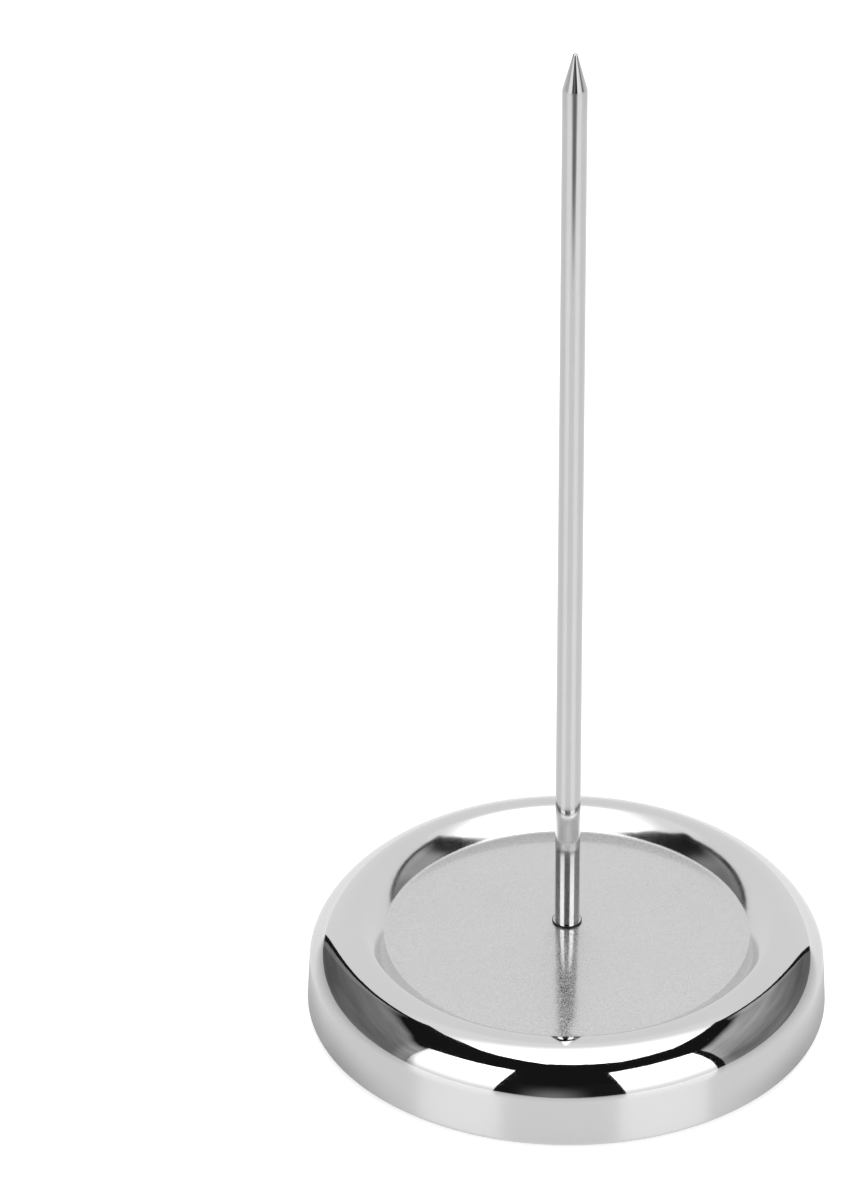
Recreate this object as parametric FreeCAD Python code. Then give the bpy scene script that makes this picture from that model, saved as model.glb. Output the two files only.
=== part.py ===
import FreeCAD, Part
import math
import os

# A counter spike: a round pressed steel base carries an upright pointed rod.
# Sizes are in millimetres and angles in degrees. Z is up.
# The origin is on the axis, in the plane that the foot pad rests on.

# Base shell, a round steel pressing
base_radius = 41.0
shell_thickness = 0.6
foot_inner_bend = 0.1
hem_width = 4.0
wall_height = 8.15
wall_lean = 2.2
shoulder_width = 7.3
shoulder_rise = 7.3
shoulder_fullness = 0.43
crest_bend = 2.4
crest_angle = 32.0
flank_radius = 21.5
flank_angle = 42.7
groove_radius = 0.6
crown_radius = 157.0

# Spike, a polished rod with a ground point and a stud at its foot
rod_radius = 2.0
shaft_length = 155.7
point_half_angle = 14.1
tip_radius = 0.4
stud_radius = 1.5
stud_chamfer = 0.3
stud_end_length = 1.0

# Seat ring under the rod's foot
ring_overhang = 0.35
ring_thickness = 0.35
ring_edge_round = 0.1

# Ballast weight, a cast disc with a raised boss and a pocket for the nut
ballast_radius = 26.0
ballast_chamfer = 0.8
boss_radius = 10.0
boss_seat_thickness = 4.4

# Fasteners on the stud
washer_radius = 3.5
washer_thickness = 0.5
lock_washer_radius = 3.1
lock_washer_thickness = 0.8
lock_washer_slit = 0.6
lock_washer_slit_angle = 25.0
nut_across_flats = 5.5
nut_height = 2.4
nut_chamfer_angle = 30.0

# Bottom plate and foot pad
plate_thickness = 0.6
pad_proud = 0.8
pad_edge_round = 0.3

# Clearances
stud_clearance = 0.1
ballast_hole_clearance = 0.3
thread_clearance = 0.05
ballast_gap = 0.4
pocket_clearance = 3.5
plate_clearance = 0.2
pad_clearance = 0.4

# Heights and radii that follow from the sizes above
pad_thickness = pad_proud + shell_thickness
foot_z = pad_proud
foot_bend = foot_inner_bend + shell_thickness
foot_centre_r = base_radius - foot_bend
foot_centre_z = foot_z + foot_bend
wall_top_z = foot_z + wall_height
crest_z = wall_top_z + shoulder_rise
hem_inner_radius = base_radius - hem_width
stud_hole_radius = stud_radius + stud_clearance


def wall_radius(z, depth):
    """Radius of the leaning wall at a height, at a depth under its outer face."""
    lean = math.radians(wall_lean)
    return foot_centre_r + (foot_bend - depth - (z - foot_centre_z) * math.sin(lean)) / math.cos(lean)


crest_radius = wall_radius(wall_top_z, 0) - shoulder_width
crest_centre_z = crest_z - crest_bend
flank_centre_r = crest_radius + (flank_radius - crest_bend) * math.sin(math.radians(crest_angle))
flank_centre_z = crest_centre_z - (flank_radius - crest_bend) * math.cos(math.radians(crest_angle))
groove_centre_r = flank_centre_r - (flank_radius + groove_radius) * math.sin(math.radians(flank_angle))
groove_centre_z = flank_centre_z + (flank_radius + groove_radius) * math.cos(math.radians(flank_angle))
crown_edge_angle = math.degrees(math.asin(groove_centre_r / (crown_radius + groove_radius)))
crown_centre_z = groove_centre_z - (crown_radius + groove_radius) * math.cos(math.radians(crown_edge_angle))


def crown_height(radius, depth):
    """Height of the crowned centre at a radius, at a depth under its outer face."""
    return crown_centre_z + math.sqrt((crown_radius - depth) ** 2 - radius ** 2)


seat_z = crown_height(stud_hole_radius, 0)
shoulder_z = seat_z + ring_thickness
plate_z = foot_z + shell_thickness
ballast_bottom_z = plate_z + plate_thickness
ballast_top_z = groove_centre_z - groove_radius - shell_thickness - ballast_gap
boss_top_z = crown_height(boss_radius, shell_thickness)
pocket_roof_z = boss_top_z - boss_seat_thickness
washer_z = pocket_roof_z - washer_thickness
lock_washer_z = washer_z - lock_washer_thickness
nut_z = lock_washer_z - nut_height
stud_end_z = nut_z - stud_end_length


def point(radius, height):
    """A point of a turned profile."""
    return FreeCAD.Vector(radius, 0, height)


def polar(centre, radius, angle):
    """A point at an angle about a centre, in the profile's plane."""
    turn = math.radians(angle)
    return centre + FreeCAD.Vector(radius * math.cos(turn), 0, radius * math.sin(turn))


def line(start, end):
    return Part.LineSegment(start, end).toShape()


def arc(centre, radius, start_angle, end_angle):
    """A circular arc from one angle to another about a centre."""
    middle_angle = (start_angle + end_angle) / 2
    start = polar(centre, radius, start_angle)
    middle = polar(centre, radius, middle_angle)
    end = polar(centre, radius, end_angle)
    return Part.Arc(start, middle, end).toShape()


def conic(start, corner, end, fullness):
    """A smooth quarter curve that leaves start and reaches end along the lines to their corner."""
    curve = Part.BSplineCurve()
    poles = [start, corner, end]
    curve.buildFromPolesMultsKnots(poles, [3, 3], [0, 1], False, 2, [1, fullness, 1])
    return curve.toShape()


def turned(edges):
    """A solid of revolution about Z from the edges of a closed profile."""
    wire = Part.Wire(Part.__sortEdges__(edges))
    return Part.Face(wire).revolve(FreeCAD.Vector(0, 0, 0), FreeCAD.Vector(0, 0, 1), 360)


def closed_lines(points):
    """The straight edges round a closed profile."""
    return [line(start, end) for start, end in zip(points, points[1:] + points[:1])]


def flat_ring(inner_radius, outer_radius, bottom, thickness):
    """A plain ring with square edges."""
    top = bottom + thickness
    corners = [
        point(inner_radius, bottom),
        point(outer_radius, bottom),
        point(outer_radius, top),
        point(inner_radius, top),
    ]
    return turned(closed_lines(corners))


def shell_skin(depth):
    """The pressing's profile at a depth under its outer face, from the hem's lip to the stud's hole."""
    foot_centre = point(foot_centre_r, foot_centre_z)
    crest_centre = point(crest_radius, crest_centre_z)
    flank_centre = point(flank_centre_r, flank_centre_z)
    groove_centre = point(groove_centre_r, groove_centre_z)
    crown_centre = point(0, crown_centre_z)
    wall_foot = polar(foot_centre, foot_bend - depth, wall_lean)
    wall_top = point(wall_radius(wall_top_z, depth), wall_top_z)
    corner = point(wall_radius(crest_z - depth, depth), crest_z - depth)
    crest = point(crest_radius, crest_z - depth)
    crown_bend = crown_radius - depth
    hole_angle = math.degrees(math.acos(stud_hole_radius / crown_bend))
    return [
        line(point(hem_inner_radius, foot_z + depth), point(foot_centre_r, foot_z + depth)),
        arc(foot_centre, foot_bend - depth, -90, wall_lean),
        line(wall_foot, wall_top),
        conic(wall_top, corner, crest, shoulder_fullness),
        arc(crest_centre, crest_bend - depth, 90, 90 + crest_angle),
        arc(flank_centre, flank_radius - depth, 90 + crest_angle, 90 + flank_angle),
        arc(groove_centre, groove_radius + depth, flank_angle - 90, -90 - crown_edge_angle),
        arc(crown_centre, crown_bend, 90 - crown_edge_angle, hole_angle),
    ]


def make_base_shell():
    """One sheet drawn into a rounded rim, a crowned centre and a hem turned in at the foot."""
    hem_lip = line(point(hem_inner_radius, foot_z), point(hem_inner_radius, plate_z))
    hole_top = point(stud_hole_radius, seat_z)
    hole_bottom = point(stud_hole_radius, crown_height(stud_hole_radius, shell_thickness))
    hole_wall = line(hole_top, hole_bottom)
    return turned(shell_skin(0) + [hole_wall] + shell_skin(shell_thickness) + [hem_lip])


def make_spike():
    """The rod: a ground point with a rounded tip, a straight shaft, and a stud below the shoulder."""
    shaft_top_z = shoulder_z + shaft_length
    half_angle = math.radians(point_half_angle)
    apex_z = shaft_top_z + rod_radius / math.tan(half_angle)
    tip_centre = point(0, apex_z - tip_radius / math.sin(half_angle))
    tip_end = polar(tip_centre, tip_radius, point_half_angle)
    tip_top = polar(tip_centre, tip_radius, 90)
    outline = [
        tip_top,
        point(0, stud_end_z),
        point(stud_radius - stud_chamfer, stud_end_z),
        point(stud_radius, stud_end_z + stud_chamfer),
        point(stud_radius, shoulder_z),
        point(rod_radius, shoulder_z),
        point(rod_radius, shaft_top_z),
        tip_end,
    ]
    sides = [line(start, end) for start, end in zip(outline, outline[1:])]
    return turned(sides + [arc(tip_centre, tip_radius, point_half_angle, 90)])


def make_seat_ring():
    """The thin ring between the rod's shoulder and the crown, with its upper edge rounded."""
    outer_radius = rod_radius + ring_overhang
    round_centre = point(outer_radius - ring_edge_round, shoulder_z - ring_edge_round)
    outline = [
        point(outer_radius - ring_edge_round, shoulder_z),
        point(stud_hole_radius, shoulder_z),
        point(stud_hole_radius, seat_z),
        point(outer_radius, seat_z),
        point(outer_radius, shoulder_z - ring_edge_round),
    ]
    sides = [line(start, end) for start, end in zip(outline, outline[1:])]
    return turned(sides + [arc(round_centre, ring_edge_round, 0, 90)])


def make_ballast_weight():
    """The cast disc that fills the base: its boss meets the crown, and its pocket holds the nut."""
    hole_radius = stud_radius + ballast_hole_clearance
    pocket_radius = washer_radius + pocket_clearance
    corners = [
        point(hole_radius, boss_top_z),
        point(boss_radius, boss_top_z),
        point(boss_radius, ballast_top_z),
        point(ballast_radius - ballast_chamfer, ballast_top_z),
        point(ballast_radius, ballast_top_z - ballast_chamfer),
        point(ballast_radius, ballast_bottom_z + ballast_chamfer),
        point(ballast_radius - ballast_chamfer, ballast_bottom_z),
        point(pocket_radius, ballast_bottom_z),
        point(pocket_radius, pocket_roof_z),
        point(hole_radius, pocket_roof_z),
    ]
    return turned(closed_lines(corners))


def make_flat_washer():
    return flat_ring(stud_hole_radius, washer_radius, washer_z, washer_thickness)


def make_lock_washer():
    """A spring washer drawn flat, with the slanted slit of its coil."""
    ring = flat_ring(stud_hole_radius, lock_washer_radius, lock_washer_z, lock_washer_thickness)
    slit_height = 3 * lock_washer_thickness
    corner = FreeCAD.Vector(0, -lock_washer_slit / 2, -slit_height / 2)
    slit = Part.makeBox(2 * lock_washer_radius, lock_washer_slit, slit_height, corner)
    slit.rotate(FreeCAD.Vector(0, 0, 0), FreeCAD.Vector(1, 0, 0), lock_washer_slit_angle)
    slit.translate(FreeCAD.Vector(0, 0, lock_washer_z + lock_washer_thickness / 2))
    return ring.cut(slit)


def make_hex_nut():
    """A hexagon nut with both ends chamfered at its corners."""
    corner_radius = nut_across_flats / math.sqrt(3)
    corners = [FreeCAD.Vector(corner_radius, 0, 0)]
    for turn in range(1, 6):
        corner = FreeCAD.Vector(corner_radius, 0, 0)
        rotation = FreeCAD.Rotation(FreeCAD.Vector(0, 0, 1), 60 * turn)
        corners.append(rotation.multVec(corner))
    hexagon = Part.Face(Part.makePolygon(corners + corners[:1]))
    prism = hexagon.extrude(FreeCAD.Vector(0, 0, nut_height))
    prism.translate(FreeCAD.Vector(0, 0, nut_z))
    flat_radius = nut_across_flats / 2
    chamfer_height = (corner_radius - flat_radius) * math.tan(math.radians(nut_chamfer_angle))
    bore_radius = stud_radius + thread_clearance
    envelope = turned(closed_lines([
        point(bore_radius, nut_z),
        point(flat_radius, nut_z),
        point(corner_radius, nut_z + chamfer_height),
        point(corner_radius, lock_washer_z - chamfer_height),
        point(flat_radius, lock_washer_z),
        point(bore_radius, lock_washer_z),
    ]))
    return prism.common(envelope)


def make_bottom_plate():
    """The disc that closes the base, held between the hem and the ballast."""
    return Part.makeCylinder(foot_centre_r - plate_clearance, plate_thickness, point(0, plate_z))


def make_foot_pad():
    """The soft disc glued under the plate, standing proud of the hem, with its lower edge rounded."""
    radius = hem_inner_radius - pad_clearance
    round_centre = point(radius - pad_edge_round, pad_edge_round)
    outline = [
        point(radius, pad_edge_round),
        point(radius, pad_thickness),
        point(0, pad_thickness),
        point(0, 0),
        point(radius - pad_edge_round, 0),
    ]
    sides = [line(start, end) for start, end in zip(outline, outline[1:])]
    return turned(sides + [arc(round_centre, pad_edge_round, -90, 0)])


pieces = {
    "base_shell": make_base_shell(),
    "spike": make_spike(),
    "seat_ring": make_seat_ring(),
    "ballast_weight": make_ballast_weight(),
    "flat_washer": make_flat_washer(),
    "lock_washer": make_lock_washer(),
    "hex_nut": make_hex_nut(),
    "bottom_plate": make_bottom_plate(),
    "foot_pad": make_foot_pad(),
}

os.makedirs("parts", exist_ok=True)
for name, shape in pieces.items():
    shape.exportStep("parts/%s.step" % name)
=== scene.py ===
import math

import bpy
from mathutils import Matrix, Vector


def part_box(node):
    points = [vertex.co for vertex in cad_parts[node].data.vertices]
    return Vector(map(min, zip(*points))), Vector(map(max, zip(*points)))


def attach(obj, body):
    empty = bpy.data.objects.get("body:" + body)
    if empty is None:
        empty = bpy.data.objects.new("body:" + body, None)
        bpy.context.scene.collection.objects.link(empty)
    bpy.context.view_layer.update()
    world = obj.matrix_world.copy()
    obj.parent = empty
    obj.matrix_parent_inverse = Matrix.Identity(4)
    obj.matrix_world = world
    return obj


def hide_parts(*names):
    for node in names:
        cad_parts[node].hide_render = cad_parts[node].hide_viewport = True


# A counter spike on its round steel base, dressed for its picture.
# Lengths are in metres and angles in degrees, unless a name says otherwise. Z is up.

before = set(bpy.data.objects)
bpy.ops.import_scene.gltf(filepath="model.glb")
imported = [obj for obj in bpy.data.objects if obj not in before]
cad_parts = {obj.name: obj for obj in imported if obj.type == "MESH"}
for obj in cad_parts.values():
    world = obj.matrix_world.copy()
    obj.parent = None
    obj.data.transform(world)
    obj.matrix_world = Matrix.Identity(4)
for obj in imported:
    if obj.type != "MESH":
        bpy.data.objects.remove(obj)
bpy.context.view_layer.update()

MM = 0.001
weld_distance = 0.004 * MM
sharp_angle = 28.0
shell_segments = 256
rod_segments = 96
pad_segments = 160

# Base shell, the pressing's driving sizes
base_radius = 41.0 * MM
shell_thickness = 0.6 * MM
foot_inner_bend = 0.1 * MM
hem_width = 4.0 * MM
wall_height = 8.15 * MM
wall_lean = 2.2
shoulder_width = 7.3 * MM
shoulder_rise = 7.3 * MM
shoulder_fullness = 0.43
crest_bend = 2.4 * MM
crest_angle = 32.0
flank_radius = 21.5 * MM
flank_angle = 42.7
groove_radius = 0.6 * MM
crown_radius = 157.0 * MM

# Spike and seat ring
rod_radius = 2.0 * MM
point_half_angle = 14.1
tip_radius = 0.4 * MM
stud_radius = 1.5 * MM
stud_chamfer = 0.3 * MM
stud_clearance = 0.1 * MM
ring_overhang = 0.35 * MM
ring_edge_round = 0.1 * MM

# Finishes. A fineness is how many of a pattern's features lie side by side in a metre, and a depth
# is how far they stand out. A noise range is the part of the noise that the finish follows. Greys
# and roughness ranges give a finish at the two ends of its pattern.
noise_middle = (0.25, 0.75)

# Finish of the shell
shell_greys = ((0.595, 0.595, 0.595), (0.625, 0.625, 0.625))
tone_fineness = 70.0
haze_fineness = 160.0
waviness_fineness = 230.0
waviness_depth = 0.008 * MM
buffing_fineness = 2600.0
buffing_turn_fineness = 14.0
buffing_depth = 0.0008 * MM
rim_noise_range = (0.1, 0.5)
rim_roughness_range = (0.02, 0.07)
flank_roughness = 0.11
satin_edge = (0.2 * MM, 0.7 * MM)
satin_fineness = 9000.0
satin_depth = 0.0012 * MM
satin_noise_range = (0.48, 0.60)
satin_roughness_range = (0.10, 0.65)

# Between these drops below the groove's centre, the upper skin's own finishes end
upper_skin_drop = (2.0 * MM, 1.0 * MM)

# A few small pits in the buffed steel
pits_per_metre = 120.0
pit_radius = 0.3 * MM
pit_flat_share = 0.5
pit_depth = 0.04 * MM

# Finish of the rod
rod_greys = ((0.55, 0.55, 0.55), (0.58, 0.58, 0.58))
draw_mark_scale = (5200.0, 5200.0, 12.0)
grind_mark_scale = (60.0, 60.0, 9000.0)
grind_blend = 0.4 * MM
rod_mark_depth = 0.0004 * MM
rod_haze_fineness = 220.0
rod_noise_range = (0.1, 0.45)
rod_roughness_range = (0.03, 0.10)
rod_waviness_fineness = 120.0
rod_waviness_depth = 0.003 * MM

# Finish of the seat ring
# The first grey is painted shade for the ring's dark edge, the second is the turned steel
ring_shade_and_steel_greys = ((0.03, 0.03, 0.03), (0.62, 0.62, 0.62))
ring_tool_fineness = 9000.0
ring_tool_turn_fineness = 4.0
ring_tool_depth = 0.0005 * MM
ring_polish_range = (0.8, 1.0)
ring_roughness_range = (0.35, 0.08)
# Between these insets from the ring's outer edge, the steel turns to the painted shade
ring_painted_shade_start = 0.16 * MM
ring_painted_shade_end = 0.09 * MM

# Finishes of the pieces inside and of the foot pad
iron_greys = ((0.055, 0.052, 0.05), (0.14, 0.13, 0.125))
iron_metallic = 0.7
iron_patch_fineness = 120.0
iron_grain_fineness = 1500.0
iron_grain_depth = 0.12 * MM
iron_roughness_range = (0.55, 0.8)
zinc_greys = ((0.60, 0.62, 0.65), (0.50, 0.52, 0.56))
zinc_crystal_fineness = 1400.0
zinc_crystal_depth = 0.004 * MM
zinc_roughness_range = (0.25, 0.4)
spring_greys = ((0.10, 0.10, 0.115), (0.26, 0.255, 0.25))
spring_scale_fineness = 900.0
spring_scale_depth = 0.006 * MM
spring_roughness_range = (0.28, 0.5)
sheet_greys = ((0.42, 0.42, 0.43), (0.56, 0.56, 0.57))
sheet_line_scale = (40.0, 4200.0, 4200.0)
sheet_line_depth = 0.003 * MM
sheet_roughness_range = (0.3, 0.45)
foam_greys = ((0.018, 0.018, 0.019), (0.05, 0.05, 0.052))
foam_cell_fineness = 2600.0
foam_cell_depth = 0.09 * MM
foam_cloud_fineness = 260.0
foam_cloud_range = (0.6, 1.0)
foam_roughness_range = (0.82, 0.96)

# Foot pad
pad_edge_round = 0.3 * MM
pad_bulge = 0.15 * MM

# Heights and radii that follow from the frame and the sizes above
foot_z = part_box("base_shell")[0].z
seat_z, shoulder_z = (corner.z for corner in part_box("seat_ring"))
stud_end_z, tip_z = (corner.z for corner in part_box("spike"))
foot_bend = foot_inner_bend + shell_thickness
foot_centre_r = base_radius - foot_bend
foot_centre_z = foot_z + foot_bend
wall_top_z = foot_z + wall_height
crest_z = wall_top_z + shoulder_rise
hem_inner_radius = base_radius - hem_width
stud_hole_radius = stud_radius + stud_clearance


def wall_radius(z, depth):
    """Radius of the leaning wall at a height, at a depth under its outer face."""
    lean = math.radians(wall_lean)
    return foot_centre_r + (foot_bend - depth - (z - foot_centre_z) * math.sin(lean)) / math.cos(lean)


crest_radius = wall_radius(wall_top_z, 0) - shoulder_width
crest_centre_z = crest_z - crest_bend
flank_centre_r = crest_radius + (flank_radius - crest_bend) * math.sin(math.radians(crest_angle))
flank_centre_z = crest_centre_z - (flank_radius - crest_bend) * math.cos(math.radians(crest_angle))
groove_centre_r = flank_centre_r - (flank_radius + groove_radius) * math.sin(math.radians(flank_angle))
groove_centre_z = flank_centre_z + (flank_radius + groove_radius) * math.cos(math.radians(flank_angle))
crown_edge_angle = math.degrees(math.asin(groove_centre_r / (crown_radius + groove_radius)))
crown_centre_z = groove_centre_z - (crown_radius + groove_radius) * math.cos(math.radians(crown_edge_angle))
crown_edge_radius = crown_radius * math.sin(math.radians(crown_edge_angle))
tip_centre_z = tip_z - tip_radius
apex_z = tip_centre_z + tip_radius / math.sin(math.radians(point_half_angle))
shaft_top_z = apex_z - rod_radius / math.tan(math.radians(point_half_angle))


# Profiles are lists of (radius, height) points, and a turned piece is spun from one about Z

def line_points(start, end, steps):
    """Points from start to end, both included."""
    shares = [step / steps for step in range(steps + 1)]
    return [tuple(a + (b - a) * share for a, b in zip(start, end)) for share in shares]


def arc_points(centre, radius, start_angle, end_angle, steps):
    """Points along a circular arc, both ends included."""
    points = []
    for step in range(steps + 1):
        angle = math.radians(start_angle + (end_angle - start_angle) * step / steps)
        points.append((centre[0] + radius * math.cos(angle), centre[1] + radius * math.sin(angle)))
    return points


def conic_points(start, corner, end, fullness, steps):
    """Points along the curve that leaves start and reaches end along the lines to their corner."""
    points = []
    for step in range(steps + 1):
        t = step / steps
        weights = ((1 - t) ** 2, 2 * fullness * t * (1 - t), t ** 2)
        total = sum(weights)
        points.append(tuple(
            sum(weight * pole[axis] for weight, pole in zip(weights, (start, corner, end))) / total
            for axis in range(2)
        ))
    return points


def joined(*stretches):
    """One profile from stretches that meet, without the doubled points where they meet."""
    points = [stretches[0][0]]
    for point in (point for stretch in stretches for point in stretch):
        if math.dist(points[-1], point) > weld_distance:
            points.append(point)
    return points


def shell_skin(depth, fineness):
    """The pressing's profile at a depth under its outer face, from the hem's lip to the stud's hole.

    The last value of each stretch is its number of steps, which the fineness multiplies.
    """
    foot_centre = (foot_centre_r, foot_centre_z)
    wall_foot = arc_points(foot_centre, foot_bend - depth, wall_lean, wall_lean, 1)[0]
    wall_top = (wall_radius(wall_top_z, depth), wall_top_z)
    corner = (wall_radius(crest_z - depth, depth), crest_z - depth)
    crest = (crest_radius, crest_z - depth)
    crown_bend = crown_radius - depth
    hole_angle = math.degrees(math.acos(stud_hole_radius / crown_bend))
    hem_start = (hem_inner_radius, foot_z + depth)
    hem_end = (foot_centre_r, foot_z + depth)
    crest_centre = (crest_radius, crest_centre_z)
    flank_centre = (flank_centre_r, flank_centre_z)
    groove_centre = (groove_centre_r, groove_centre_z)
    groove_angles = (flank_angle - 90, -90 - crown_edge_angle)
    return joined(
        line_points(hem_start, hem_end, 3 * fineness),
        arc_points(foot_centre, foot_bend - depth, -90, wall_lean, 6 * fineness),
        line_points(wall_foot, wall_top, 8 * fineness),
        conic_points(wall_top, corner, crest, shoulder_fullness, 24 * fineness),
        arc_points(crest_centre, crest_bend - depth, 90, 90 + crest_angle, 10 * fineness),
        arc_points(flank_centre, flank_radius - depth, 90 + crest_angle, 90 + flank_angle, 6 * fineness),
        arc_points(groove_centre, groove_radius + depth, *groove_angles, 6 * fineness),
        arc_points((0, crown_centre_z), crown_bend, 90 - crown_edge_angle, hole_angle, 16 * fineness),
    )


def base_shell_profile():
    """The closed profile of the sheet: outer skin, hole, inner skin and the hem's lip."""
    outer = shell_skin(depth=0, fineness=2)
    inner = shell_skin(depth=shell_thickness, fineness=1)
    return joined(outer, inner[::-1], outer[:1])


def spike_profile():
    """From the stud's end up the outside of the rod to the rounded tip."""
    tip_arc = arc_points((0, tip_centre_z), tip_radius, point_half_angle, 90, 10)
    stud = [
        (0, stud_end_z),
        (stud_radius - stud_chamfer, stud_end_z),
        (stud_radius, stud_end_z + stud_chamfer),
        (stud_radius, shoulder_z),
    ]
    shaft = line_points((rod_radius, shoulder_z), (rod_radius, shaft_top_z), 24)
    ground_point = line_points(shaft[-1], tip_arc[0], 12)
    return joined(stud, shaft, ground_point, tip_arc)


def seat_ring_profile():
    """A thin ring with its upper outer edge rounded."""
    outer_radius = rod_radius + ring_overhang
    round_centre = (outer_radius - ring_edge_round, shoulder_z - ring_edge_round)
    lower_edge = [(stud_hole_radius, seat_z), (outer_radius, seat_z)]
    upper_edge = arc_points(round_centre, ring_edge_round, 0, 90, 8)
    hole = [(stud_hole_radius, shoulder_z), (stud_hole_radius, seat_z)]
    return joined(lower_edge, upper_edge, hole)


def foot_pad_profile():
    """The foam disc: flat faces, rounded edges, and a side that bulges a little under the weight."""
    low, high = (corner.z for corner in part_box("foot_pad"))
    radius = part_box("foot_pad")[1].x
    side_radius = radius - pad_bulge
    side_low = low + pad_edge_round
    side_height = high - side_low
    steps = 8
    bulge = [
        (side_radius + pad_bulge * math.sin(math.pi * step / steps), side_low + side_height * step / steps)
        for step in range(steps + 1)
    ]
    return joined(
        line_points((0, low), (side_radius - pad_edge_round, low), 40),
        arc_points((side_radius - pad_edge_round, side_low), pad_edge_round, -90, 0, 6),
        bulge,
        line_points((side_radius, high), (0, high), 10),
    )


# Geometry nodes: a profile spun about Z

def add_node(tree, kind, inputs=None, **settings):
    """A new node, with its own settings, and its inputs linked to sockets or set to values."""
    made = tree.nodes.new(kind)
    for name, value in settings.items():
        setattr(made, name, value)
    for name, value in (inputs or {}).items():
        if isinstance(value, bpy.types.NodeSocket):
            tree.links.new(value, made.inputs[name])
        else:
            made.inputs[name].default_value = value
    return made


def first_output(made):
    """The first socket that the node's settings leave in use."""
    return next(socket for socket in made.outputs if socket.enabled)


def math_of(tree, operation, first, second=0.0):
    """The result of one sum on two values or sockets."""
    return add_node(tree, "ShaderNodeMath", {0: first, 1: second}, operation=operation).outputs[0]


def turned_piece_tree():
    """Spins the points of a profile about Z into a closed, smooth mesh with sharp corners kept."""
    tree = bpy.data.node_groups.new("turned piece", "GeometryNodeTree")
    for name, kind in (
        ("Profile", "NodeSocketGeometry"),
        ("Segments", "NodeSocketInt"),
        ("Merge distance", "NodeSocketFloat"),
        ("Sharp angle", "NodeSocketFloat"),
        ("Finish", "NodeSocketMaterial"),
    ):
        tree.interface.new_socket(name, in_out="INPUT", socket_type=kind)
    tree.interface.new_socket("Piece", in_out="OUTPUT", socket_type="NodeSocketGeometry")
    given = add_node(tree, "NodeGroupInput").outputs
    count = add_node(
        tree, "GeometryNodeAttributeDomainSize", {"Geometry": given["Profile"]}, component="MESH"
    ).outputs["Point Count"]
    columns = add_node(tree, "FunctionNodeIntegerMath", {0: given["Segments"], 1: 1}, operation="ADD")
    grid = add_node(
        tree, "GeometryNodeMeshGrid",
        {"Size X": 1.0, "Size Y": 1.0, "Vertices X": columns.outputs[0], "Vertices Y": count},
    )
    index = add_node(tree, "GeometryNodeInputIndex").outputs[0]
    column = add_node(tree, "FunctionNodeIntegerMath", {0: index, 1: count}, operation="DIVIDE")
    row = add_node(tree, "FunctionNodeIntegerMath", {0: index, 1: count}, operation="MODULO")
    place = add_node(tree, "GeometryNodeInputPosition").outputs[0]
    profile_point = add_node(
        tree, "GeometryNodeSampleIndex",
        {"Geometry": given["Profile"], "Index": row.outputs[0]},
        data_type="FLOAT_VECTOR", domain="POINT",
    )
    tree.links.new(place, profile_point.inputs["Value"])
    share = math_of(tree, "DIVIDE", column.outputs[0], given["Segments"])
    turn = math_of(tree, "MULTIPLY", share, math.tau)
    spun = add_node(
        tree, "ShaderNodeVectorRotate",
        {"Vector": profile_point.outputs["Value"], "Angle": turn},
        rotation_type="Z_AXIS",
    )
    placed = add_node(
        tree, "GeometryNodeSetPosition", {"Geometry": grid.outputs["Mesh"], "Position": spun.outputs[0]}
    )
    merged = add_node(
        tree, "GeometryNodeMergeByDistance",
        {"Geometry": placed.outputs[0], "Distance": given["Merge distance"]},
    )
    smooth = add_node(
        tree, "GeometryNodeSetShadeSmooth",
        {"Geometry": merged.outputs[0], "Shade Smooth": True},
        domain="FACE",
    )
    edge_angle = add_node(tree, "GeometryNodeInputMeshEdgeAngle").outputs["Unsigned Angle"]
    is_sharp = add_node(
        tree, "FunctionNodeCompare", {0: edge_angle, 1: given["Sharp angle"]},
        data_type="FLOAT", operation="GREATER_THAN",
    )
    creased = add_node(
        tree, "GeometryNodeSetShadeSmooth",
        {"Geometry": smooth.outputs[0], "Selection": is_sharp.outputs[0], "Shade Smooth": False},
        domain="EDGE",
    )
    real = add_node(tree, "GeometryNodeRealizeInstances", {"Geometry": creased.outputs[0]})
    finished = add_node(
        tree, "GeometryNodeSetMaterial", {"Geometry": real.outputs[0], "Material": given["Finish"]}
    )
    add_node(tree, "NodeGroupOutput", {"Piece": finished.outputs[0]})
    return tree


def make_turned_piece(tree, name, profile, segments, finish):
    """A plain mesh object made by the tree from a profile."""
    sketch = bpy.data.meshes.new(name + "_profile")
    sketch.from_pydata([(radius, 0, height) for radius, height in profile], [], [])
    piece = bpy.data.objects.new(name, sketch)
    bpy.context.scene.collection.objects.link(piece)
    modifier = piece.modifiers.new("turn", "NODES")
    modifier.node_group = tree
    values = {
        "Segments": segments,
        "Merge distance": weld_distance,
        "Sharp angle": math.radians(sharp_angle),
        "Finish": finish,
    }
    for socket in tree.interface.items_tree:
        if socket.in_out == "INPUT" and socket.name in values:
            modifier[socket.identifier] = values[socket.name]
    bpy.context.view_layer.update()
    evaluated = piece.evaluated_get(bpy.context.evaluated_depsgraph_get())
    mesh = bpy.data.meshes.new_from_object(evaluated)
    piece.modifiers.clear()
    piece.data = mesh
    mesh.name = name
    bpy.data.meshes.remove(sketch)
    return piece


# Materials

def new_material(name):
    """A material, its tree and its Principled shader."""
    material = bpy.data.materials.new(name)
    material.use_nodes = True
    return material, material.node_tree, material.node_tree.nodes["Principled BSDF"]


def finish_surface(tree, surface, metallic, colour, roughness, normal):
    """Sets how metallic the surface is, and links what gives its colour, roughness and relief."""
    surface.inputs["Metallic"].default_value = metallic
    tree.links.new(colour, surface.inputs["Base Color"])
    tree.links.new(roughness, surface.inputs["Roughness"])
    tree.links.new(normal, surface.inputs["Normal"])


def object_point(tree):
    """The place on the piece, in its own metres."""
    return add_node(tree, "ShaderNodeTexCoord").outputs["Object"]


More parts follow.
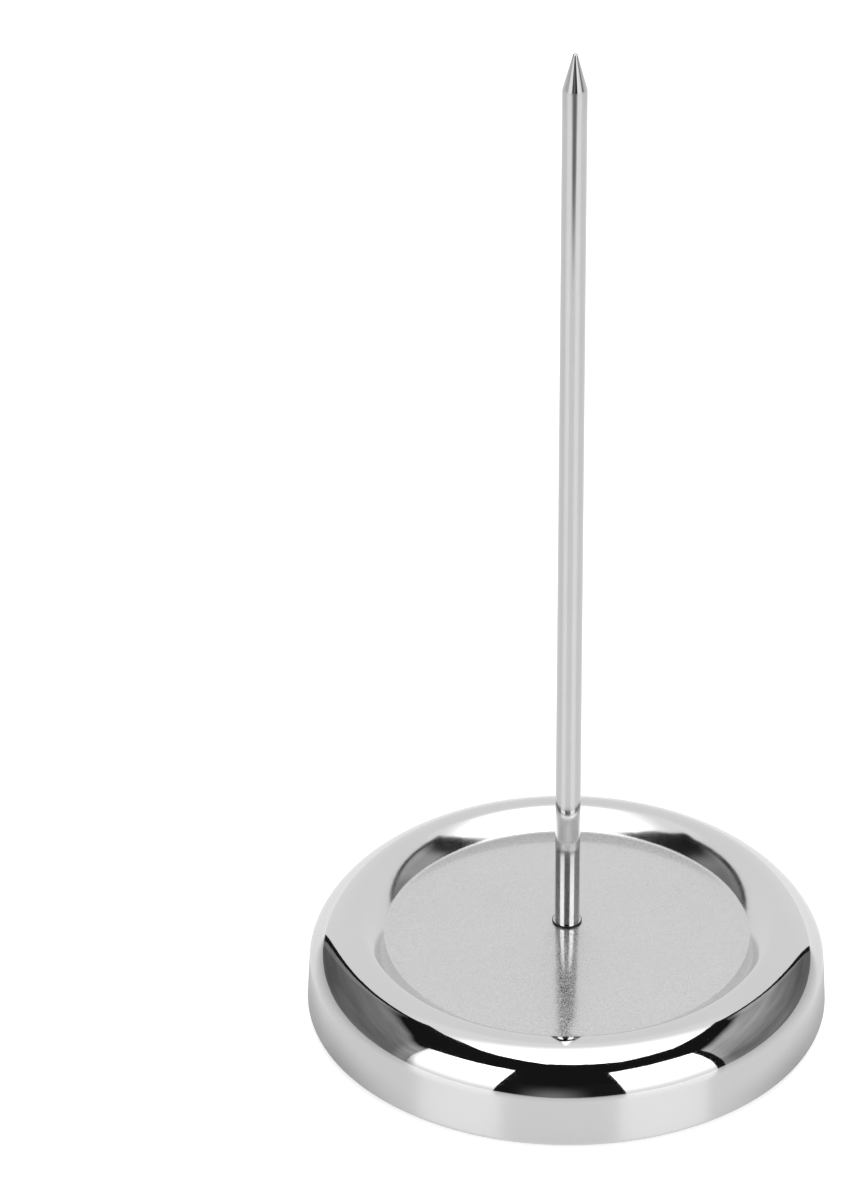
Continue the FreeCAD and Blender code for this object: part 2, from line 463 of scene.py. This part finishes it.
def stretched(tree, point, scale):
    """The point with each axis scaled by itself."""
    return add_node(tree, "ShaderNodeMapping", {"Vector": point, "Scale": scale}).outputs[0]


def noise(tree, point, scale=1.0, detail=2.0, roughness=0.5):
    """Noise from 0 to 1 with features about 1/scale metres across."""
    inputs = {"Vector": point, "Scale": scale, "Detail": detail, "Roughness": roughness}
    return first_output(add_node(tree, "ShaderNodeTexNoise", inputs))


def cell_distance(tree, point, scale):
    """Distance from the middle of the nearest cell, in cells that are about 1/scale metres across."""
    return add_node(tree, "ShaderNodeTexVoronoi", {"Vector": point, "Scale": scale}).outputs["Distance"]


def ranged(tree, value, low, high, from_low=0.0, from_high=1.0, smooth=False):
    """A value mapped from one range to another and kept inside it."""
    inputs = {"Value": value, "From Min": from_low, "From Max": from_high, "To Min": low, "To Max": high}
    style = "SMOOTHSTEP" if smooth else "LINEAR"
    return add_node(tree, "ShaderNodeMapRange", inputs, interpolation_type=style).outputs["Result"]


def mixed(tree, share, first, second):
    """The first value at a share of 0, and the second at 1."""
    inputs = {"Factor": share, "A": first, "B": second}
    return add_node(tree, "ShaderNodeMix", inputs, data_type="FLOAT").outputs[0]


def greys(tree, value, first, last):
    """A colour that goes from the first to the last as a value goes from 0 to 1."""
    ramp = add_node(tree, "ShaderNodeValToRGB", {"Fac": value})
    ramp.color_ramp.elements[0].color = (*first, 1)
    ramp.color_ramp.elements[1].color = (*last, 1)
    return ramp.outputs["Color"]


def bump(tree, height, distance, normal=None):
    """A normal tilted by a height from 0 to 1, where 1 stands out by the distance in metres."""
    inputs = {"Height": height, "Distance": distance, "Strength": 1.0}
    if normal is not None:
        inputs["Normal"] = normal
    return add_node(tree, "ShaderNodeBump", inputs).outputs["Normal"]


def flattened(tree, point):
    """The point dropped to the plane of X and Y."""
    return add_node(tree, "ShaderNodeVectorMath", {0: point, 1: (1, 1, 0)}, operation="MULTIPLY").outputs[0]


def axis_radius(tree, point):
    """Distance from the Z axis."""
    flat = flattened(tree, point)
    return add_node(tree, "ShaderNodeVectorMath", {0: flat}, operation="LENGTH").outputs["Value"]


def axis_value(tree, point, axis):
    """One coordinate of the point, by the axis's letter."""
    return add_node(tree, "ShaderNodeSeparateXYZ", {0: point}).outputs[axis]


def outward(tree, point):
    """The level direction from the Z axis to the point, one long."""
    flat = flattened(tree, point)
    return add_node(tree, "ShaderNodeVectorMath", {0: flat}, operation="NORMALIZE").outputs[0]


def spun_point(tree, point, along, across):
    """A point for patterns drawn out round the axis: fine across the turn, and long along it."""
    direction = outward(tree, point)
    scale = (along, along, 0)
    scaled = add_node(tree, "ShaderNodeVectorMath", {0: direction, 1: scale}, operation="MULTIPLY")
    run = math_of(tree, "SUBTRACT", axis_radius(tree, point), axis_value(tree, point, "Z"))
    offset = math_of(tree, "MULTIPLY", run, across)
    lifted = add_node(tree, "ShaderNodeCombineXYZ", {"Z": offset}).outputs[0]
    placed = add_node(tree, "ShaderNodeVectorMath", {0: scaled.outputs[0], 1: lifted}, operation="ADD")
    return placed.outputs[0]


def base_steel():
    """Buffed rim and wall, and a satin centre inside the groove."""
    material, tree, surface = new_material("buffed_rim_satin_centre_steel")
    point = object_point(tree)
    radius = axis_radius(tree, point)
    height = axis_value(tree, point, "Z")
    satin_ends = [crown_edge_radius + distance for distance in satin_edge]
    upper_skin_ends = [groove_centre_z - drop for drop in upper_skin_drop]
    inside = ranged(tree, radius, 1.0, 0.0, *satin_ends, smooth=True)
    above = ranged(tree, height, 0.0, 1.0, *upper_skin_ends)
    centre = math_of(tree, "MULTIPLY", inside, above)
    haze = noise(tree, point, haze_fineness, detail=3.0)
    grain = noise(tree, point, satin_fineness, detail=1.0)
    buffing_point = spun_point(tree, point, buffing_turn_fineness, buffing_fineness)
    buffing = noise(tree, buffing_point, detail=4.0, roughness=0.65)
    rim_marks = math_of(tree, "MULTIPLY", haze, buffing)
    rim_roughness = ranged(tree, rim_marks, *rim_roughness_range, *rim_noise_range)
    flank = ranged(tree, radius, flank_roughness, 0.0, crown_edge_radius, crest_radius)
    rim_roughness = math_of(tree, "ADD", rim_roughness, math_of(tree, "MULTIPLY", flank, above))
    centre_roughness = ranged(tree, grain, *satin_roughness_range, *satin_noise_range)
    waviness = noise(tree, point, waviness_fineness)
    rim_normal = bump(tree, waviness, waviness_depth)
    rim_normal = bump(tree, buffing, buffing_depth, rim_normal)
    pit_place = cell_distance(tree, point, pits_per_metre)
    pit_edge = pit_radius * pits_per_metre
    pits = ranged(tree, pit_place, 0.0, 1.0, pit_flat_share * pit_edge, pit_edge)
    rim_normal = bump(tree, pits, pit_depth, rim_normal)
    grain_depth = math_of(tree, "MULTIPLY", grain, centre)
    finish_surface(
        tree, surface,
        metallic=1.0,
        colour=greys(tree, noise(tree, point, tone_fineness, detail=3.0), *shell_greys),
        roughness=mixed(tree, centre, rim_roughness, centre_roughness),
        normal=bump(tree, grain_depth, satin_depth, rim_normal),
    )
    return material


def rod_steel():
    """Drawn and polished rod, with fine marks along its length and fine rings round its ground point."""
    material, tree, surface = new_material("drawn_polished_rod_steel")
    point = object_point(tree)
    height = axis_value(tree, point, "Z")
    draw_marks = noise(tree, stretched(tree, point, draw_mark_scale), detail=3.0, roughness=0.6)
    grind_marks = noise(tree, stretched(tree, point, grind_mark_scale))
    on_point = ranged(tree, height, 0.0, 1.0, shaft_top_z - grind_blend, shaft_top_z)
    marks = mixed(tree, on_point, draw_marks, grind_marks)
    haze = noise(tree, point, rod_haze_fineness, detail=3.0)
    hazed_marks = math_of(tree, "MULTIPLY", marks, haze)
    waviness = noise(tree, point, rod_waviness_fineness, detail=1.0)
    finish_surface(
        tree, surface,
        metallic=1.0,
        colour=greys(tree, haze, *rod_greys),
        roughness=ranged(tree, hazed_marks, *rod_roughness_range, *rod_noise_range),
        normal=bump(tree, marks, rod_mark_depth, bump(tree, waviness, rod_waviness_depth)),
    )
    return material


def ring_steel():
    """Turned steel with fine rings from the tool, and a dark line of painted shade round its edge."""
    material, tree, surface = new_material("turned_ring_steel")
    point = object_point(tree)
    radius = axis_radius(tree, point)
    rings = noise(tree, spun_point(tree, point, ring_tool_turn_fineness, ring_tool_fineness))
    edge = rod_radius + ring_overhang
    # Painted shade: the ring's rounded edge and side are coloured dark grey
    unshaded = ranged(tree, radius, 1.0, 0.0, edge - ring_painted_shade_start, edge - ring_painted_shade_end)
    polish = ranged(tree, rings, *ring_polish_range, *noise_middle)
    finish_surface(
        tree, surface,
        metallic=1.0,
        colour=greys(tree, math_of(tree, "MULTIPLY", polish, unshaded), *ring_shade_and_steel_greys),
        roughness=ranged(tree, unshaded, *ring_roughness_range),
        normal=bump(tree, rings, ring_tool_depth),
    )
    return material


def cast_iron():
    """Dull sand cast iron, with a grainy skin and darker, faintly brown patches."""
    material, tree, surface = new_material("sand_cast_iron")
    point = object_point(tree)
    grain = noise(tree, point, iron_grain_fineness, detail=5.0, roughness=0.6)
    patches = noise(tree, point, iron_patch_fineness, detail=4.0)
    finish_surface(
        tree, surface,
        metallic=iron_metallic,
        colour=greys(tree, patches, *iron_greys),
        roughness=ranged(tree, grain, *iron_roughness_range, *noise_middle),
        normal=bump(tree, grain, iron_grain_depth),
    )
    return material


def zinc_plate():
    """Bright zinc plating with the faint patches of its crystals."""
    material, tree, surface = new_material("zinc_plated_steel")
    crystals = cell_distance(tree, object_point(tree), zinc_crystal_fineness)
    finish_surface(
        tree, surface,
        metallic=1.0,
        colour=greys(tree, crystals, *zinc_greys),
        roughness=ranged(tree, crystals, *zinc_roughness_range),
        normal=bump(tree, crystals, zinc_crystal_depth),
    )
    return material


def spring_steel():
    """Dark tempered spring steel under a film of oil."""
    material, tree, surface = new_material("tempered_spring_steel")
    scale_marks = noise(tree, object_point(tree), spring_scale_fineness, detail=4.0)
    finish_surface(
        tree, surface,
        metallic=1.0,
        colour=greys(tree, scale_marks, *spring_greys),
        roughness=ranged(tree, scale_marks, *spring_roughness_range, *noise_middle),
        normal=bump(tree, scale_marks, spring_scale_depth),
    )
    return material


def mill_sheet():
    """Cold rolled sheet with its rolling lines along X."""
    material, tree, surface = new_material("mill_finish_sheet")
    lines = noise(tree, stretched(tree, object_point(tree), sheet_line_scale), detail=3.0)
    finish_surface(
        tree, surface,
        metallic=1.0,
        colour=greys(tree, lines, *sheet_greys),
        roughness=ranged(tree, lines, *sheet_roughness_range, *noise_middle),
        normal=bump(tree, lines, sheet_line_depth),
    )
    return material


def foam_rubber():
    """Matt black foam rubber with the cut cells of the foam showing as a fine pitted grain."""
    material, tree, surface = new_material("black_foam_rubber")
    point = object_point(tree)
    cells = cell_distance(tree, point, foam_cell_fineness)
    cloud = noise(tree, point, foam_cloud_fineness, detail=3.0)
    depth = math_of(tree, "MULTIPLY", cells, ranged(tree, cloud, *foam_cloud_range))
    finish_surface(
        tree, surface,
        metallic=0.0,
        colour=greys(tree, depth, *foam_greys),
        roughness=ranged(tree, cloud, *foam_roughness_range),
        normal=bump(tree, depth, foam_cell_depth),
    )
    return material


# Pieces

tree = turned_piece_tree()
turned_pieces = (
    ("base_shell_skin", "base_shell", base_shell_profile(), shell_segments, base_steel(), "polished_steel"),
    ("spike_rod", "spike", spike_profile(), rod_segments, rod_steel(), "rod_steel"),
    ("seat_ring_turned", "seat_ring", seat_ring_profile(), rod_segments, ring_steel(), "rod_steel"),
    ("foot_pad_foam", "foot_pad", foot_pad_profile(), pad_segments, foam_rubber(), "pad_rubber"),
)
for name, node_name, profile, segments, finish, slot in turned_pieces:
    piece = make_turned_piece(tree, name, profile, segments, finish)
    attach(piece, "root")
    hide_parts(node_name)

hidden_finishes = {
    "ballast_weight": cast_iron(),
    "flat_washer": zinc_plate(),
    "lock_washer": spring_steel(),
    "bottom_plate": mill_sheet(),
}
hidden_finishes["hex_nut"] = hidden_finishes["flat_washer"]
for node_name, finish in hidden_finishes.items():
    cad_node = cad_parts[node_name]
    cad_node.data.materials.clear()
    cad_node.data.materials.append(finish)


# Stage: a pale floor, and the light box that the steel mirrors.
# Plan points are (x, y), and the box's cards stand on the floor and reach up to its ceiling.
# A level is a light's strength, and a pair such as wall_bright_z is where a change starts and ends.
# Each front panel gives its two ends on the floor, and then the same two under the ceiling.

ceiling_z = 0.8
floor_radius = 3.0
floor_sides = 96
floor_albedo = 0.5
floor_glow = 0.43
floor_front_glow = 0.05
floor_front_facing = (0.6, 0.95)
floor_white = 0.3
floor_far_white = 0.3
floor_far_reach = (0.4, 1.6)
floor_coat_ior = 1.7
floor_coat_roughness = 0.24
foot_shade = 0.35
foot_shade_reach = 8.0 * MM
foot_shade_facing = (0.4, 0.9)
backdrop_level = 1.0
ceiling_edge_level = 1.1
overhead_level = 3.0
panel_level = 3.2
panel_foot_level = 1.1
panel_foot_z = 0.50
panel_end_fade = 0.11
panel_end_share = 0.4
backdrop_corners = (
    (-0.580, 0.746, 0), (0.597, 0.702, 0), (0.595, 0.185, ceiling_z), (-0.580, 0.137, ceiling_z),
)
backdrop_lean = 0.70
backdrop_brightens_z = 0.68
overhead_outline = (
    (-0.580, 0.137), (-0.500, 0.090), (-0.490, -0.025), (-0.430, -0.125), (-0.390, -0.237),
    (-0.315, -0.325), (-0.200, -0.400), (-0.100, -0.456), (0.125, -0.456), (0.287, -0.425),
    (0.415, -0.325), (0.520, -0.225), (0.560, -0.100), (0.570, 0.000), (0.570, 0.085),
    (0.555, 0.155), (0.595, 0.185),
)
overhead_step_y = (0.09, -0.25)
overhead_step_slant = 0.15
left_wall = (
    (-0.765, 0.110), (-0.800, 0.050), (-0.887, -0.112), (-1.012, -0.237), (-1.060, -0.330),
    (-0.985, -0.389),
)
left_wall_rear_edge = ((-0.622, 0.745), (-0.655, 0.150))
right_wall = ((0.740, 0.140), (0.775, 0.080), (0.800, -0.025), (0.850, -0.200), (0.868, -0.342))
right_wall_rear_edge = ((0.632, 0.700), (0.642, 0.180))
wall_bright_z = (0.15, 0.55)
wall_fade_z = 0.66
wall_front_y = (-0.22, -0.36)
wall_front_glow = 0.15
wall_rear_y = (0.10, 0.50)
wall_rear_share = 0.72
wall_seam_place = (0.70, 0.71)
wall_seam_level = 0.10
left_wall_levels = (0.19, 0.29)
right_wall_levels = (0.24, 0.52)
fold_scale = (3.0, 3.0, 11.0)
fold_noise_range = (0.3, 0.7)
fold_levels = (0.82, 1.18)
front_panels = (
    ((-0.980, -0.390), (-0.385, -0.690), (-0.980, -0.390), (-0.340, -0.710)),
    ((0.850, -0.405), (0.335, -0.735), (0.850, -0.405), (0.300, -0.752)),
)
gap_floor = (
    (-0.10, -0.16), (0.10, -0.16), (0.312, -0.75), (0.62, -1.5), (-0.65, -1.5), (-0.325, -0.75),
)
gap_floor_z = 0.02 * MM
gap_floor_level = 0.22
gap_floor_y = (-0.205, -0.25)
gap_floor_spread = (0.10, 0.55)
room_card_y = -1.45
room_card_half_width = 0.60
room_card_height = 0.80
room_glow = 0.22
room_glow_x = -0.13
room_glow_width = 0.45
room_dark = 0.014
matt_fill = 0.15
page_white = 1.0


def bare_material(name):
    """A material and its tree, without a shader yet."""
    material = bpy.data.materials.new(name)
    material.use_nodes = True
    material.node_tree.nodes.clear()
    return material, material.node_tree


def glow_material(name, level):
    """A light whose level a function works out from the point of the card."""
    material, tree = bare_material(name)
    glow = add_node(tree, "ShaderNodeEmission", {"Strength": level(tree, object_point(tree))})
    add_node(tree, "ShaderNodeOutputMaterial", {"Surface": glow.outputs[0]})
    return material


def add_card(name, points, faces, material):
    """A card that the camera doesn't see and that casts no shadow."""
    mesh = bpy.data.meshes.new(name)
    mesh.from_pydata(points, [], faces)
    mesh.materials.append(material)
    card = bpy.data.objects.new(name, mesh)
    bpy.context.scene.collection.objects.link(card)
    card.visible_camera = False
    card.visible_shadow = False


def add_flat_card(name, corners, material):
    """A card of one face."""
    add_card(name, corners, [tuple(range(len(corners)))], material)


def add_upright_card(name, low_plan, high_plan, material):
    """An upright card between a line of plan points on the floor and one under the ceiling."""
    count = len(low_plan)
    points = [(x, y, 0) for x, y in low_plan] + [(x, y, ceiling_z) for x, y in high_plan]
    faces = [(step, step + 1, count + step + 1, count + step) for step in range(count - 1)]
    add_card(name, points, faces, material)


def backdrop_light(tree, point):
    """Even over most of its height, and a little brighter where it comes close to the lamps."""
    height = axis_value(tree, point, "Z")
    levels = (backdrop_level, ceiling_edge_level)
    return ranged(tree, height, *levels, backdrop_brightens_z, ceiling_z, smooth=True)


def overhead_light(tree, point):
    """Dimmer at the back, then full past a slanted step."""
    slant = math_of(tree, "MULTIPLY", axis_value(tree, point, "X"), overhead_step_slant)
    place = math_of(tree, "SUBTRACT", axis_value(tree, point, "Y"), slant)
    return ranged(tree, place, ceiling_edge_level, overhead_level, *overhead_step_y, smooth=True)


def panel_light(fade_start, fade_end):
    """Full at the top, dimmer at the foot, and fading out between two distances from the middle."""
    def level(tree, point):
        height = axis_value(tree, point, "Z")
        tall = ranged(tree, height, panel_foot_level, panel_level, 0.0, panel_foot_z, smooth=True)
        aside = math_of(tree, "ABSOLUTE", axis_value(tree, point, "X"))
        end = ranged(tree, aside, 1.0, panel_end_share, fade_start, fade_end, smooth=True)
        return math_of(tree, "MULTIPLY", tall, end)
    return level


def wall_light(low, high):
    """Slack grey cloth: brighter high up and at the front, with a light seam beside the backdrop."""
    def level(tree, point):
        height = axis_value(tree, point, "Z")
        depth = axis_value(tree, point, "Y")
        folds = noise(tree, stretched(tree, point, fold_scale), 1.0, 3.0)
        folds = ranged(tree, folds, *fold_levels, *fold_noise_range)
        grey = ranged(tree, height, low, high, *wall_bright_z, smooth=True)
        front = ranged(tree, depth, 0.0, wall_front_glow, *wall_front_y, smooth=True)
        grey = math_of(tree, "MULTIPLY", math_of(tree, "ADD", grey, front), folds)
        rear = ranged(tree, depth, 1.0, wall_rear_share, *wall_rear_y, smooth=True)
        grey = math_of(tree, "MULTIPLY", grey, rear)
        top = ranged(tree, height, 1.0, 0.0, wall_fade_z, ceiling_z, smooth=True)
        grey = math_of(tree, "MULTIPLY", grey, top)
        place = math_of(tree, "ADD", depth, math_of(tree, "MULTIPLY", height, backdrop_lean))
        seam = ranged(tree, place, 0.0, wall_seam_level, *wall_seam_place)
        return math_of(tree, "ADD", grey, seam)
    return level


def floor_light(tree, point):
    """The floor's own glow: white to the camera, and shaded beside and behind the shell's foot."""
    seen = add_node(tree, "ShaderNodeLightPath").outputs["Is Camera Ray"]
    shade_end = base_radius + foot_shade_reach
    near = ranged(tree, axis_radius(tree, point), foot_shade, 0.0, base_radius, shade_end, smooth=True)
    facing = math_of(tree, "MULTIPLY", axis_value(tree, outward(tree, point), "Y"), -1.0)
    unlit = ranged(tree, facing, 1.0, 0.0, *foot_shade_facing, smooth=True)
    lit = ranged(tree, facing, floor_glow, floor_glow + floor_front_glow, *floor_front_facing, smooth=True)
    mirrored = math_of(tree, "SUBTRACT", lit, math_of(tree, "MULTIPLY", near, unlit))
    far = ranged(tree, axis_radius(tree, point), 0.0, floor_far_white, *floor_far_reach, smooth=True)
    return mixed(tree, seen, mirrored, math_of(tree, "ADD", far, floor_glow + floor_white))


def gap_floor_material():
    """Darker floor between the two panels, which fades in with distance and towards the middle."""
    material, tree = bare_material("gap_floor_grey")
    point = object_point(tree)
    depth = axis_value(tree, point, "Y")
    aside = math_of(tree, "ABSOLUTE", math_of(tree, "DIVIDE", axis_value(tree, point, "X"), depth))
    middle = ranged(tree, aside, 1.0, 0.0, *gap_floor_spread, smooth=True)
    share = math_of(tree, "MULTIPLY", middle, ranged(tree, depth, 0.0, 1.0, *gap_floor_y, smooth=True))
    clear = add_node(tree, "ShaderNodeBsdfTransparent")
    grey = add_node(tree, "ShaderNodeEmission", {"Strength": gap_floor_level})
    both = add_node(tree, "ShaderNodeMixShader", {0: share, 1: clear.outputs[0], 2: grey.outputs[0]})
    add_node(tree, "ShaderNodeOutputMaterial", {"Surface": both.outputs[0]})
    return material


def room_light(tree, point):
    """What little light the room behind the camera gives: a soft glow low in the middle."""
    height = ranged(tree, axis_value(tree, point, "Z"), 1.0, 0.0, 0.0, room_card_height, smooth=True)
    aside = math_of(tree, "ABSOLUTE", math_of(tree, "SUBTRACT", axis_value(tree, point, "X"), room_glow_x))
    middle = ranged(tree, aside, 1.0, 0.0, 0.0, room_glow_width, smooth=True)
    glow = math_of(tree, "MULTIPLY", math_of(tree, "MULTIPLY", height, middle), room_glow)
    return math_of(tree, "ADD", glow, room_dark)


def add_floor():
    """A round pale floor that keeps the object's shadow."""
    turns = [math.tau * step / floor_sides for step in range(floor_sides)]
    rim = [(floor_radius * math.cos(turn), floor_radius * math.sin(turn), 0) for turn in turns]
    mesh = bpy.data.meshes.new("floor")
    mesh.from_pydata(rim, [], [tuple(range(floor_sides))])
    material, tree = bare_material("floor_white")
    glow = add_node(tree, "ShaderNodeEmission", {"Strength": floor_light(tree, object_point(tree))})
    matt = add_node(tree, "ShaderNodeBsdfDiffuse", {"Color": (floor_albedo,) * 3 + (1,)})
    gloss = add_node(tree, "ShaderNodeBsdfAnisotropic", {"Roughness": floor_coat_roughness})
    coat = add_node(tree, "ShaderNodeFresnel", {"IOR": floor_coat_ior})
    layers = {0: coat.outputs[0], 1: matt.outputs[0], 2: gloss.outputs[0]}
    coated = add_node(tree, "ShaderNodeMixShader", layers)
    both = add_node(tree, "ShaderNodeAddShader", {0: glow.outputs[0], 1: coated.outputs[0]})
    add_node(tree, "ShaderNodeOutputMaterial", {"Surface": both.outputs[0]})
    mesh.materials.append(material)
    floor = bpy.data.objects.new("floor", mesh)
    bpy.context.scene.collection.objects.link(floor)


def add_light_box():
    """Slanted backdrop, overhead panel, grey side walls, and the two panels and the gap between them."""
    add_flat_card("backdrop", backdrop_corners, glow_material("backdrop_white", backdrop_light))
    overhead = [(x, y, ceiling_z) for x, y in overhead_outline]
    add_flat_card("overhead_panel", overhead, glow_material("overhead_white", overhead_light))
    for plan, rear_edge, levels in (
        (left_wall, left_wall_rear_edge, left_wall_levels),
        (right_wall, right_wall_rear_edge, right_wall_levels),
    ):
        grey = glow_material("wall_grey", wall_light(*levels))
        add_upright_card("side_wall", rear_edge[:1] + plan, rear_edge[1:] + plan, grey)
    left_end = -front_panels[0][0][0]
    for corners in front_panels:
        glow = glow_material("front_white", panel_light(left_end - panel_end_fade, left_end))
        add_upright_card("front_panel", corners[:2], corners[2:], glow)
    gap_corners = [(x, y, gap_floor_z) for x, y in gap_floor]
    add_flat_card("floor_in_the_gap", gap_corners, gap_floor_material())
    room_corners = [
        (side * room_card_half_width, room_card_y, height)
        for side, height in ((-1, 0), (1, 0), (1, room_card_height), (-1, room_card_height))
    ]
    add_flat_card("room_beyond", room_corners, glow_material("room_grey", room_light))


def add_world():
    """White to the camera, nearly black in reflections past the cards, and a faint fill for the rest."""
    world = bpy.data.worlds.new("studio")
    bpy.context.scene.world = world
    world.use_nodes = True
    tree = world.node_tree
    tree.nodes.clear()
    path = add_node(tree, "ShaderNodeLightPath").outputs
    strength = mixed(tree, path["Is Glossy Ray"], matt_fill, room_dark)
    strength = mixed(tree, path["Is Camera Ray"], strength, page_white)
    background = add_node(tree, "ShaderNodeBackground", {"Strength": strength})
    add_node(tree, "ShaderNodeOutputWorld", {"Surface": background.outputs[0]})


add_floor()
add_light_box()
add_world()


# Camera at the photograph's viewing angle

view_elevation = 34.641
view_distance = 4.1
picture_roll = 0.549
lens_mm = 775.36
sensor_mm = 36.0
picture_width_px = 865
picture_height_px = 1200
shell_foot_px = (566.25, 998.80)
clip_near = 0.1
clip_far = 20.0


def add_camera():
    """Looks from the photograph's angle, and puts the middle of the shell's foot where it shows there."""
    elevation = math.radians(view_elevation)
    roll = math.radians(picture_roll)
    shell_foot = Vector((0, 0, foot_z))
    back = Vector((0, -math.cos(elevation), math.sin(elevation)))
    level_right = Vector((1, 0, 0))
    level_up = Vector((0, math.sin(elevation), math.cos(elevation)))
    right = math.cos(roll) * level_right + math.sin(roll) * level_up
    up = back.cross(right)
    pixel = view_distance * sensor_mm / lens_mm / picture_height_px
    across = (picture_width_px / 2 - shell_foot_px[0]) * pixel
    upward = (shell_foot_px[1] - picture_height_px / 2) * pixel
    location = shell_foot + view_distance * back
    aim = shell_foot + across * right + upward * up
    camera_back = (location - aim).normalized()
    camera_right = (right - right.dot(camera_back) * camera_back).normalized()
    camera_up = camera_back.cross(camera_right)
    data = bpy.data.cameras.new("camera")
    data.lens = lens_mm
    data.sensor_width = sensor_mm
    data.clip_start = clip_near
    data.clip_end = clip_far
    camera = bpy.data.objects.new("camera", data)
    bpy.context.scene.collection.objects.link(camera)
    camera.matrix_world = Matrix((
        (camera_right.x, camera_up.x, camera_back.x, location.x),
        (camera_right.y, camera_up.y, camera_back.y, location.y),
        (camera_right.z, camera_up.z, camera_back.z, location.z),
        (0, 0, 0, 1),
    ))
    bpy.context.scene.camera = camera


add_camera()
bpy.context.scene.view_settings.view_transform = "Standard"
